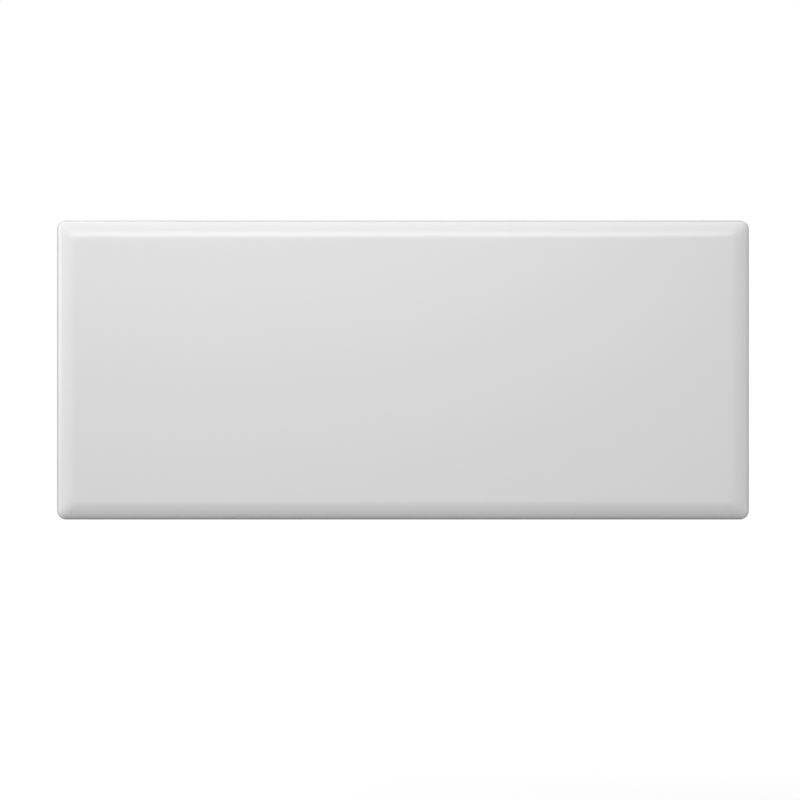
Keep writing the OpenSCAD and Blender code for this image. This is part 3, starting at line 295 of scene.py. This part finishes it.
def drawn_metal(name, colour, roughness, along=6.0, across=1400.0, stain=None, dust=0.1):
    """Rolled or drawn metal with fine lines along X, stained by heat where a stain is given."""
    made, tree, shader = start_finish(name, Metallic=1.0)
    lines = place(tree, DRAWN_LINES, Along=along, Across=across)
    body = blend_colours(tree, lines["Tone"], lit(colour, 0.85), lit(colour, 1.12))
    if stain:
        here = put(tree, "TexCoord").outputs["Object"]
        bands = span(tree, speckle(tree, here, 26.0, 5, 0.6), 0.42, 0.62, 0.0, 0.8)
        body = blend_colours(tree, bands, body, stain)
    rubbed = place(tree, EDGE_WEAR, Reach=0.0005)["Mask"]
    body = blend_colours(tree, rubbed, body, lit(colour, 1.25))
    body = dust_over(tree, body, dust)
    shine = span(tree, lines["Tone"], 0.3, 0.7, roughness - 0.06, roughness + 0.08)
    finish_surface(tree, shader, body, shine, lines["Height"], bump_depth=0.000008)
    return made


def moulded(name, colour, roughness, grain=2600.0, depth=0.00002, edge=1.25):
    """Moulded plastic or rubber: eroded grain, faint flow lines and rubbed edges."""
    made, tree, shader = start_finish(name)
    skin = place(tree, MOULD_SKIN, Grain=grain)
    body = blend_colours(tree, skin["Tone"], lit(colour, 0.93), lit(colour, 1.07))
    rubbed = combine(tree, "MULTIPLY", place(tree, EDGE_WEAR, Reach=0.0004)["Mask"], 0.5)
    body = blend_colours(tree, rubbed, body, lit(colour, edge))
    body = dust_over(tree, body, 0.1)
    shine = span(tree, skin["Sheen"], 0.3, 0.7, roughness - 0.05, roughness + 0.06)
    finish_surface(tree, shader, body, shine, skin["Height"], bump_depth=depth)
    return made


def lens_plastic(name, colour):
    """Clear tinted plastic with moulded ripples and fine scuffs."""
    made, tree, shader = start_finish(name, Transmission_Weight=0.6, IOR=1.49)
    skin = place(tree, MOULD_SKIN, Grain=900.0)
    body = blend_colours(tree, skin["Tone"], lit(colour, 0.85), lit(colour, 1.1))
    shine = span(tree, skin["Sheen"], 0.3, 0.7, 0.08, 0.2)
    finish_surface(tree, shader, body, shine, skin["Height"], bump_depth=0.00001)
    return made


def board_lacquer(name, colour):
    """Solder resist over copper tracks and round lands."""
    made, tree, shader = start_finish(name, Coat_Weight=0.4, Coat_Roughness=0.15)
    here = put(tree, "TexCoord").outputs["Object"]
    track_plan = {"Vector": here, "Scale": 160.0, "Mortar Size": 0.06, "Brick Width": 0.9, "Row Height": 0.3}
    tracks = put(tree, "TexBrick", track_plan).outputs[1]
    lands = put(tree, "TexVoronoi", {"Vector": here, "Scale": 240.0, "Randomness": 0.6}).outputs[0]
    land = span(tree, lands, 0.22, 0.26, 1.0, 0.0)
    body = blend_colours(tree, tracks, lit(colour, 0.8), lit(colour, 1.7))
    body = blend_colours(tree, land, body, TINNED_LAND)
    body = dust_over(tree, body, 0.2)
    shine = span(tree, land, 0.0, 1.0, 0.3, 0.22)
    finish_surface(tree, shader, body, shine, tracks, bump_depth=0.00003)
    return made


finishes = {
    "front_paint": powder_coat("front_coat", PAINT, 0.22, dust=0.05, wear=0.1, joint_shade=0.0, vary=0.35),
    "casing_paint": powder_coat("casing_coat", CASING_PAINT, 0.42, peel=300.0),
    "grille_paint": powder_coat("grille_coat", CASING_PAINT, 0.42, peel=300.0, dust=0.2),
    "zinc_steel": zinc("tab_zinc", (0.62, 0.63, 0.64), 0.38),
    "zinc_screws": zinc("screw_zinc", (0.60, 0.61, 0.62), 0.30, flower=420.0),
    "galvanised_sheet": zinc("galvanised", (0.58, 0.59, 0.60), 0.42, flower=80.0),
    "bracket_zinc": zinc("bracket_galvanising", (0.60, 0.61, 0.62), 0.38, flower=210.0),
    "rod_zinc": drawn_metal("drawn_rod", (0.50, 0.51, 0.52), 0.30),
    "spring_steel": drawn_metal("spring_wire", (0.45, 0.46, 0.47), 0.28, along=400.0),
    "element_aluminium": drawn_metal("extruded_aluminium", (0.72, 0.73, 0.74), 0.36, dust=0.25),
    "shield_aluminium": drawn_metal("mill_aluminium", (0.78, 0.79, 0.80), 0.24, along=3.0, across=900.0),
    "rod_steel": drawn_metal("stained_sheath", (0.32, 0.30, 0.29), 0.4, stain=HEAT_STAIN),
    "brass": drawn_metal("turned_brass", (0.78, 0.60, 0.28), 0.26, along=900.0),
    "black_rubber": moulded("grommet_rubber", (0.03, 0.03, 0.03), 0.75, grain=1800.0),
    "dark_moulding": moulded("dark_nylon", (0.04, 0.04, 0.045), 0.5),
    "grey_moulding": moulded("grey_nylon", (0.10, 0.105, 0.11), 0.52),
    "black_moulding": moulded("black_nylon", (0.02, 0.02, 0.022), 0.45),
    "blue_moulding": moulded("blue_nylon", (0.06, 0.14, 0.32), 0.42),
    "cream_moulding": moulded("cream_thermoset", (0.80, 0.78, 0.70), 0.46, edge=1.05),
    "control_plastic": moulded("tray_plastic", (0.62, 0.63, 0.63), 0.46, grain=1900.0, edge=1.12),
    "dial_plastic": moulded("dial_gloss", (0.78, 0.79, 0.79), 0.30, depth=0.000008, edge=1.06),
    "rocker_plastic": moulded("rocker_gloss", (0.025, 0.025, 0.027), 0.24, depth=0.000006, edge=1.6),
    "catch_plastic": moulded("catch_nylon", (0.05, 0.05, 0.055), 0.5, edge=1.5),
    "ceramic": moulded("fired_ceramic", (0.85, 0.83, 0.77), 0.6, grain=900.0, edge=1.02),
    "white_insulation": moulded("white_silicone", (0.80, 0.80, 0.78), 0.42, edge=1.0),
    "brown_insulation": moulded("brown_silicone", (0.16, 0.06, 0.02), 0.42, edge=1.2),
    "blue_insulation": moulded("blue_silicone", (0.02, 0.07, 0.42), 0.42, edge=1.2),
    "earth_insulation": moulded("earth_silicone", (0.25, 0.42, 0.03), 0.42, edge=1.2),
    "amber_lens": lens_plastic("amber_plastic", (0.85, 0.30, 0.05)),
    "circuit_board": board_lacquer("board_green", (0.02, 0.16, 0.06)),
}

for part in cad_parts.values():
    for holder in part.material_slots:
        holder.material = finishes[holder.material.name]


# Modelling helpers

def middle(node):
    """The middle of a solid's box."""
    low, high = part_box(node)
    return (low + high) / 2


def clean_start():
    """Nothing selected, in object mode."""
    if bpy.context.object and bpy.context.object.mode == "EDIT":
        bpy.ops.object.mode_set(mode="OBJECT")
    bpy.ops.object.select_all(action="DESELECT")


def take(piece):
    """One piece selected and active, in object mode."""
    clean_start()
    bpy.context.view_layer.objects.active = piece
    piece.select_set(True)


def edit(piece):
    """Edit mode on one piece, with nothing selected."""
    take(piece)
    bpy.ops.object.mode_set(mode="EDIT")
    bpy.ops.mesh.select_all(action="DESELECT")


def keep_place():
    """Puts the place, turn and size of the new piece into its mesh."""
    bpy.ops.object.transform_apply(location=True, rotation=True, scale=True)


def apply_modifier(piece, kind, **settings):
    """Adds one modifier and applies it."""
    take(piece)
    modifier = piece.modifiers.new(kind.lower(), kind)
    for setting, value in settings.items():
        setattr(modifier, setting, value)
    bpy.ops.object.modifier_apply(modifier=modifier.name)


def copies(model, spots):
    """Copies a model to each spot, each copy with its own mesh, and removes the model."""
    made = []
    for spot in spots:
        twin = model.copy()
        twin.data = model.data.copy()
        bpy.context.scene.collection.objects.link(twin)
        take(twin)
        twin.location = spot
        keep_place()
        made.append(twin)
    bpy.data.objects.remove(model)
    return made


def join(parts):
    """Makes one piece of several, under the last one's name."""
    clean_start()
    for part in parts:
        part.select_set(True)
    bpy.context.view_layer.objects.active = parts[-1]
    bpy.ops.object.join()


def finish_piece(piece, name, body, slot_name, smooth=35):
    """Names, shades and paints a piece, and lets it ride on its body."""
    take(piece)
    piece.name = name
    bpy.ops.object.shade_smooth_by_angle(angle=math.radians(smooth))
    piece.data.materials.clear()
    piece.data.materials.append(finishes[slot_name])
    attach(piece, body)


# Pressed front

SHEET = 0.001
ROLL_W = 0.0235
FLAT_CORNER_R = 0.008
FLAT_CORNER_STEPS = 12
FLAT_MARGIN = 0.0015
# Each bend of the roll: its length, its slope at both ends in degrees, and its steps
ROLL_BENDS = [
    (0.0061, 0, 13, 6),
    (0.0052, 13, 20, 4),
    (0.0085, 20, 33, 7),
    (0.0044, 33, 50, 5),
    (0.0028, 50, 90, 6),
]


def roll_steps(depth):
    """The steps from the flat field to the skirt's end, each a way outward and a way back."""
    steps = []
    for length, start, end, count in ROLL_BENDS:
        for k in range(count):
            slope = math.radians(start + (end - start) * (k + 0.5) / count)
            steps.append((math.cos(slope) * length / count, math.sin(slope) * length / count))
    stretch = ROLL_W / sum(step[0] for step in steps)
    steps = [(out * stretch, back) for out, back in steps]
    steps.append((0, depth - sum(step[1] for step in steps)))
    return steps


def press_front_shell():
    """The pressed front: a flat field whose rim is drawn outward and back, ring by ring, to the skirt."""
    low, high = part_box("front_panel")
    flat_half_w = high.x - ROLL_W
    flat_half_h = high.z - ROLL_W
    clean_start()
    bpy.ops.mesh.primitive_plane_add(size=2, location=(0, low.y, 0), rotation=(math.radians(90), 0, 0))
    shell = bpy.context.object
    shell.scale = (flat_half_w, flat_half_h, 1)
    keep_place()
    edit(shell)
    bpy.ops.mesh.select_all(action="SELECT")
    bpy.ops.mesh.bevel(offset=FLAT_CORNER_R, segments=FLAT_CORNER_STEPS, affect="VERTICES")
    bpy.ops.mesh.select_all(action="SELECT")
    bpy.ops.mesh.inset(thickness=FLAT_MARGIN)
    bpy.ops.mesh.select_mode(type="EDGE")
    bpy.ops.mesh.select_all(action="DESELECT")
    bpy.ops.mesh.select_non_manifold()
    reach = 0
    for out, back in roll_steps(high.y - low.y):
        wider = (flat_half_w + reach + out) / (flat_half_w + reach)
        higher = (flat_half_h + reach + out) / (flat_half_h + reach)
        reach += out
        bpy.ops.mesh.extrude_edges_move()
        bpy.ops.transform.resize(value=(wider, 1, higher), center_override=(0, 0, 0))
        bpy.ops.transform.translate(value=(0, back, 0))
    bpy.ops.object.mode_set(mode="OBJECT")
    apply_modifier(shell, "SOLIDIFY", thickness=SHEET, offset=-1, use_even_offset=True)
    finish_piece(shell, "front_shell", "heater", "front_paint", smooth=40)
    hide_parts("front_panel")


# Dial numbers

DIAL_MARKS = 7
# Turns from straight back, in degrees, to the left
FIRST_MARK = 135
MARK_STEP = 45
SCALE_R = 0.0110
NUMBER_H = 0.0023
INK_HALF_T = 0.00002
PRINT_UP = 0.00001
TRAY_WALL = 0.0015
MERGE_REACH = 0.000002


def print_dial_scale():
    """Plain numbers round the dial, printed on the tray's floor."""
    dial = middle("thermostat_dial")
    print_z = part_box("control_panel")[0].z + TRAY_WALL + PRINT_UP
    printed = []
    for count in range(DIAL_MARKS):
        turn = math.radians(FIRST_MARK - MARK_STEP * count)
        spot = (dial.x - math.sin(turn) * SCALE_R, dial.y + math.cos(turn) * SCALE_R, print_z)
        clean_start()
        bpy.ops.object.text_add(location=spot)
        number = bpy.context.object
        number.data.body = str(count + 1)
        number.data.size = NUMBER_H
        number.data.align_x = "CENTER"
        number.data.align_y = "CENTER"
        number.data.extrude = INK_HALF_T
        number.data.resolution_u = 3
        bpy.ops.object.convert(target="MESH")
        keep_place()
        edit(bpy.context.object)
        bpy.ops.mesh.select_all(action="SELECT")
        bpy.ops.mesh.remove_doubles(threshold=MERGE_REACH)
        bpy.ops.mesh.normals_make_consistent(inside=False)
        bpy.ops.object.mode_set(mode="OBJECT")
        printed.append(bpy.context.object)
    join(printed)
    finish_piece(printed[-1], "dial_scale", "heater", "dark_moulding")


# Rocker signs

# Degrees that the rocker leans at rest, and that each of its halves slopes towards its middle
ROCKER_LEAN = 7
ROCKER_DISH = 8.53
SIGN_OUT = 0.0052
BAR_SIZE = (0.0004, 0.0026, 0.0003)
BAR_EDGE = 0.00008
BAR_Z = 0.19131
RING_R = 0.0011
RING_LINE_R = 0.0002
RING_Z = 0.18986


def print_rocker_signs():
    """A bar and a ring, pressed into the two halves of the rocker and filled with white."""
    rocker = middle("rocker_housing")
    clean_start()
    bpy.ops.mesh.primitive_cube_add(size=1, location=(rocker.x + SIGN_OUT, rocker.y, BAR_Z))
    bar = bpy.context.object
    bar.scale = BAR_SIZE
    bar.rotation_euler = (0, math.radians(-ROCKER_LEAN - ROCKER_DISH), 0)
    keep_place()
    apply_modifier(bar, "BEVEL", width=BAR_EDGE, segments=2)
    clean_start()
    bpy.ops.mesh.primitive_torus_add(
        location=(rocker.x - SIGN_OUT, rocker.y, RING_Z), major_radius=RING_R, minor_radius=RING_LINE_R,
        major_segments=36, minor_segments=8
    )
    ring = bpy.context.object
    ring.rotation_euler = (0, math.radians(ROCKER_DISH - ROCKER_LEAN), 0)
    keep_place()
    join([bar, ring])
    finish_piece(ring, "rocker_signs", "rocker", "dial_plastic")


# Spot welds

WELD_COUNT = 6
WELD_PITCH = 0.060
WELD_R = 0.0027
WELD_T = 0.0006
WELD_LIP_W = 0.0006
CRATER_SLOPE_W = 0.0004
CRATER_DEPTH = 0.00022
WELD_EDGE = 0.00012


def press_welds():
    """Spot-weld marks on the casing's back, along the partition's fold: shallow craters in raised lips."""
    fold_x = middle("partition_plate").x
    back_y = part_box("rear_casing")[1].y
    clean_start()
    bpy.ops.mesh.primitive_cylinder_add(
        vertices=28, radius=WELD_R, depth=WELD_T, location=(0, back_y, 0), rotation=(math.radians(90), 0, 0)
    )
    mark = bpy.context.object
    keep_place()
    edit(mark)
    mesh = bmesh.from_edit_mesh(mark.data)
    for face in mesh.faces:
        face.select = face.normal.y > 0.9
    bmesh.update_edit_mesh(mark.data)
    bpy.ops.mesh.inset(thickness=WELD_LIP_W)
    bpy.ops.mesh.inset(thickness=CRATER_SLOPE_W)
    bpy.ops.transform.translate(value=(0, -CRATER_DEPTH, 0))
    bpy.ops.object.mode_set(mode="OBJECT")
    sharp = math.radians(25)
    apply_modifier(mark, "BEVEL", width=WELD_EDGE, segments=2, limit_method="ANGLE", angle_limit=sharp)
    lowest = -WELD_PITCH * (WELD_COUNT - 1) / 2
    marks = copies(mark, [(fold_x, 0, lowest + count * WELD_PITCH) for count in range(WELD_COUNT)])
    join(marks)
    finish_piece(marks[-1], "spot_welds", "heater", "casing_paint")


# Grip ribs

RIB_COUNT = 4
RIB_PITCH = 0.0026
RIB_FIRST_IN = 0.0030
RIB_END_GAP = 0.0025
RIB_W = 0.0011
RIB_H = 0.0010
RIB_EDGE = 0.00045


def rib_catch(catch, body, name):
    """Rounded grip ribs across the thumb pad of one catch."""
    low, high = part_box(catch)
    clean_start()
    bpy.ops.mesh.primitive_cube_add(size=1, location=(0, 0, 0))
    rib = bpy.context.object
    rib.scale = (high.x - low.x - 2 * RIB_END_GAP, RIB_W, RIB_H)
    keep_place()
    apply_modifier(rib, "BEVEL", width=RIB_EDGE, segments=3)
    mid_x = (low.x + high.x) / 2
    first_y = high.y - RIB_FIRST_IN
    ribs = copies(rib, [(mid_x, first_y - count * RIB_PITCH, high.z) for count in range(RIB_COUNT)])
    join(ribs)
    finish_piece(ribs[-1], name, body, "catch_plastic")


press_front_shell()
print_dial_scale()
print_rocker_signs()
press_welds()
rib_catch("catch_left", "left_catch", "catch_ribs_left")
rib_catch("catch_right", "right_catch", "catch_ribs_right")


# Floor, lamps and background

WHITE = (1, 1, 1, 1)
SOFT_LIGHT = 0.795
FLOOR_Z = -0.75
FLOOR_W = 60
# The floor's colour for the light that it throws back, and the two tones that it shows
FLOOR_BOUNCE = (0.26, 0.26, 0.26, 1)
FLOOR_TONES = (0.90, 0.90, 0.90, 1), (0.94, 0.94, 0.94, 1)
# The floor turns to plain white between these distances from its middle
FADE_START = 0.9
FADE_END = 2.6
NEAR_WHITE = 0.12


def seen_rays(tree):
    """1 where the camera looks, also by way of a reflection or through clear plastic."""
    rays = put(tree, "LightPath").outputs
    seen = combine(tree, "MAXIMUM", rays["Is Camera Ray"], rays["Is Transmission Ray"])
    return combine(tree, "MAXIMUM", seen, rays["Is Glossy Ray"])


def make_background():
    """Soft even light for the heater, and plain white where the camera or a reflection looks past it."""
    world = bpy.data.worlds.new("studio")
    world.use_nodes = True
    tree = world.node_tree
    tree.nodes.clear()
    seen = seen_rays(tree)
    soft = put(tree, "Background", {"Color": WHITE, "Strength": SOFT_LIGHT}).outputs[0]
    white = put(tree, "Background", {"Color": WHITE, "Strength": 1.0}).outputs[0]
    mix = put(tree, "MixShader", {0: seen, 1: soft, 2: white}).outputs[0]
    put(tree, "OutputWorld", {"Surface": mix})
    bpy.context.scene.world = world


def make_floor():
    """A pale floor that shows as white and keeps the shadow. It is clear from below."""
    clean_start()
    bpy.ops.mesh.primitive_plane_add(size=FLOOR_W, location=(0, 0, FLOOR_Z))
    floor = bpy.context.object
    floor.name = "floor"
    pale, tree, shader = start_finish("pale_floor", Roughness=0.9, Specular_IOR_Level=0.1)
    here = put(tree, "TexCoord").outputs["Object"]
    seen = seen_rays(tree)
    shown = blend_colours(tree, speckle(tree, here, 3.0, 5), *FLOOR_TONES)
    tree.links.new(blend_colours(tree, seen, FLOOR_BOUNCE, shown), shader.inputs["Base Color"])
    away = put(tree, "VectorMath", {0: here}, operation="LENGTH").outputs["Value"]
    faded = span(tree, away, FADE_START, FADE_END, NEAR_WHITE, 1.0)
    share = combine(tree, "MULTIPLY", seen, faded)
    white = put(tree, "Emission", {"Color": WHITE, "Strength": 1.0}).outputs[0]
    top = put(tree, "MixShader", {0: share, 1: shader.outputs[0], 2: white}).outputs[0]
    below = put(tree, "NewGeometry").outputs["Backfacing"]
    clear = put(tree, "BsdfTransparent").outputs[0]
    whole = put(tree, "MixShader", {0: below, 1: top, 2: clear}).outputs[0]
    tree.links.new(whole, tree.nodes["Material Output"].inputs["Surface"])
    floor.data.materials.append(pale)


def hang_lamp(name, place_at, aim, width, height, watts, gloss=True, diffuse=True):
    """A soft lamp, turned towards a point. It may leave out the light that gloss or paint gives back."""
    data = bpy.data.lights.new(name, "AREA")
    data.shape = "RECTANGLE"
    data.size = width
    data.size_y = height
    data.energy = watts
    lamp = bpy.data.objects.new(name, data)
    lamp.location = place_at
    lamp.rotation_mode = "QUATERNION"
    lamp.rotation_quaternion = (Vector(aim) - Vector(place_at)).to_track_quat("-Z", "Y")
    lamp.visible_camera = False
    lamp.visible_glossy = gloss
    lamp.visible_diffuse = diffuse
    bpy.context.scene.collection.objects.link(lamp)


make_background()
make_floor()

# The top lamp grades the face from top to bottom, the key lamp shades the right roll, the left lamp lights
# the left one, both strips draw the highlight along the top crease, and the back lamp lights the bracket
TOP_EDGE = (-0.13, -0.09, 0.15)
FACE = (0, -0.09, 0)
BACK = (0, 0, 0)
hang_lamp("top_lamp", (-0.15, -0.53, 0.32), TOP_EDGE, width=1.1, height=0.1, watts=0.66)
hang_lamp("key_lamp", (-7.0, -9.0, 1.2), FACE, width=5.0, height=5.0, watts=140, gloss=False)
hang_lamp("left_lamp", (-4.5, -0.42, 0.9), FACE, width=2.6, height=2.0, watts=44)
hang_lamp("front_strip", (-0.3, -3.1, 1.98), FACE, width=2.6, height=0.12, watts=11)
hang_lamp("gloss_strip", (-0.3, -3.1, 1.68), FACE, width=2.6, height=0.12, watts=7, diffuse=False)
hang_lamp("back_lamp", (-1.2, 2.4, 1.6), BACK, width=1.4, height=1.4, watts=22)

bpy.context.scene.view_settings.view_transform = "Standard"
